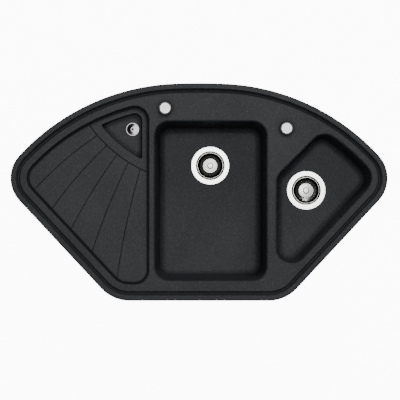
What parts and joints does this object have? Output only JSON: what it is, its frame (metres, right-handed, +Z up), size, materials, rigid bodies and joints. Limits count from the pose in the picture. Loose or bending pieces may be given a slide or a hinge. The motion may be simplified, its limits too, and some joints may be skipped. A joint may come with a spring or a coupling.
{
  "type": "corner kitchen sink",
  "caption": "Dark stone-composite corner sink with a main bowl, a corner bowl and a drainer, strainer wastes worked by deck knobs, overflow, link pipework and fixing claws.",
  "frame": {"origin": "on the underside of the rim, under the middle of the straight front edge, where the rim rests on the worktop", "axes": "+Z up, +X along the width with the drainer at -X, +Y from the short front edge into the corner of the room"},
  "size_m": [1.0598, 0.612, 0.3763],
  "materials": {
    "zinc": "zinc plated",
    "brass": "plain",
    "steel": "polished",
    "rubber": "matt",
    "grey_plastic": "moulded",
    "black_plastic": "moulded",
    "white_plastic": "moulded",
    "satin": "satin top, polished bevel",
    "chrome": "polished",
    "foam": "closed-cell foam",
    "granite": "matt, fine speckle"
  },
  "bodies": {
    "sink": {"claw_inserts": "brass", "claw_screws": "zinc", "corner_box_lid": "grey_plastic", "corner_cable_box": "grey_plastic", "corner_cable_clip": "black_plastic", "corner_clamp_screw": "steel", "corner_elbow": "white_plastic", "corner_flange": "steel", "corner_flange_seal": "rubber", "corner_knob_base": "chrome", "corner_waste_body": "white_plastic", "corner_waste_seal": "rubber", "knob_nuts": "black_plastic", "knob_seals": "rubber", "knob_washers": "black_plastic", "link_pipe": "white_plastic", "main_box_lid": "grey_plastic", "main_cable_box": "grey_plastic", "main_cable_clip": "black_plastic", "main_clamp_screw": "steel", "main_flange": "steel", "main_flange_seal": "rubber", "main_knob_base": "chrome", "main_waste_body": "white_plastic", "main_waste_seal": "rubber", "outlet_nuts": "black_plastic", "outlet_seals": "rubber", "overflow_body": "white_plastic", "overflow_pipe": "white_plastic", "overflow_rosette": "chrome", "overflow_screw": "steel", "overflow_seal": "rubber", "pipe_nuts": "black_plastic", "pipe_seals": "rubber", "rim_seal": "foam", "sink_body": "granite", "tee": "white_plastic"},
    "main_control": {"main_knob": "satin", "main_cable_drum": "grey_plastic"},
    "main_lever": {"main_lift_lever": "black_plastic"},
    "main_pin": {"main_lift_pin": "steel"},
    "main_strainer": {"main_basket": "steel", "main_basket_knob": "steel", "main_seal_plate": "black_plastic", "main_basket_seal": "rubber"},
    "corner_control": {"corner_knob": "satin", "corner_cable_drum": "grey_plastic"},
    "corner_lever": {"corner_lift_lever": "black_plastic"},
    "corner_pin": {"corner_lift_pin": "steel"},
    "corner_strainer": {"corner_basket": "steel", "corner_basket_knob": "steel", "corner_seal_plate": "black_plastic", "corner_basket_seal": "rubber"},
    "claw_1": {"claw_1": "zinc"},
    "claw_2": {"claw_2": "zinc"},
    "claw_3": {"claw_3": "zinc"},
    "claw_4": {"claw_4": "zinc"},
    "claw_5": {"claw_5": "zinc"},
    "claw_6": {"claw_6": "zinc"}
  },
  "joints": [
    {"name": "main_knob_turn", "type": "hinge", "parent": "sink", "child": "main_control", "pos_m": [-0.095, 0.53411, 0.003], "axis": [0, 0, 1], "range_deg": [0, 120]},
    {"name": "main_lever_tilt", "type": "hinge", "parent": "sink", "child": "main_lever", "pos_m": [0.033, 0.39963, -0.2332], "axis": [-1, 0, 0], "range_deg": [0, 21]},
    {"name": "main_pin_lift", "type": "slide", "parent": "sink", "child": "main_pin", "axis": [0, 0, 1], "range_m": [0, 0.0081]},
    {"name": "main_strainer_lift_off", "type": "slide", "parent": "main_pin", "child": "main_strainer", "axis": [0, 0, 1], "range_m": [0, 0.24]},
    {"name": "corner_knob_turn", "type": "hinge", "parent": "sink", "child": "corner_control", "pos_m": [0.246, 0.47777, 0.003], "axis": [0, 0, 1], "range_deg": [0, 120]},
    {"name": "corner_lever_tilt", "type": "hinge", "parent": "sink", "child": "corner_lever", "pos_m": [0.312, 0.32613, -0.1752], "axis": [-1, 0, 0], "range_deg": [0, 21]},
    {"name": "corner_pin_lift", "type": "slide", "parent": "sink", "child": "corner_pin", "axis": [0, 0, 1], "range_m": [0, 0.0081]},
    {"name": "corner_strainer_lift_off", "type": "slide", "parent": "corner_pin", "child": "corner_strainer", "axis": [0, 0, 1], "range_m": [0, 0.18]},
    {"name": "claw_1_swing", "type": "hinge", "parent": "sink", "child": "claw_1", "pos_m": [0.14987, 0.021, -0.04675], "axis": [0, 0, 1], "range_deg": [0, 90]},
    {"name": "claw_2_swing", "type": "hinge", "parent": "sink", "child": "claw_2", "pos_m": [0.35331, 0.15253, -0.04675], "axis": [0, 0, 1], "range_deg": [0, 90]},
    {"name": "claw_3_swing", "type": "hinge", "parent": "sink", "child": "claw_3", "pos_m": [0.19901, 0.5558, -0.04675], "axis": [0, 0, 1], "range_deg": [0, 90]},
    {"name": "claw_4_swing", "type": "hinge", "parent": "sink", "child": "claw_4", "pos_m": [-0.14987, 0.021, -0.04675], "axis": [0, 0, 1], "range_deg": [0, 90]},
    {"name": "claw_5_swing", "type": "hinge", "parent": "sink", "child": "claw_5", "pos_m": [-0.35331, 0.15253, -0.04675], "axis": [0, 0, 1], "range_deg": [0, 90]},
    {"name": "claw_6_swing", "type": "hinge", "parent": "sink", "child": "claw_6", "pos_m": [-0.19901, 0.5558, -0.04675], "axis": [0, 0, 1], "range_deg": [0, 90]}
  ],
  "couplings": [
    {"joint": "main_lever_tilt", "follows": "main_knob_turn", "ratio": 0.17459},
    {"joint": "main_pin_lift", "follows": "main_knob_turn", "m_per_rad": 0.003819},
    {"joint": "corner_lever_tilt", "follows": "corner_knob_turn", "ratio": 0.17459},
    {"joint": "corner_pin_lift", "follows": "corner_knob_turn", "m_per_rad": 0.003819}
  ]
}
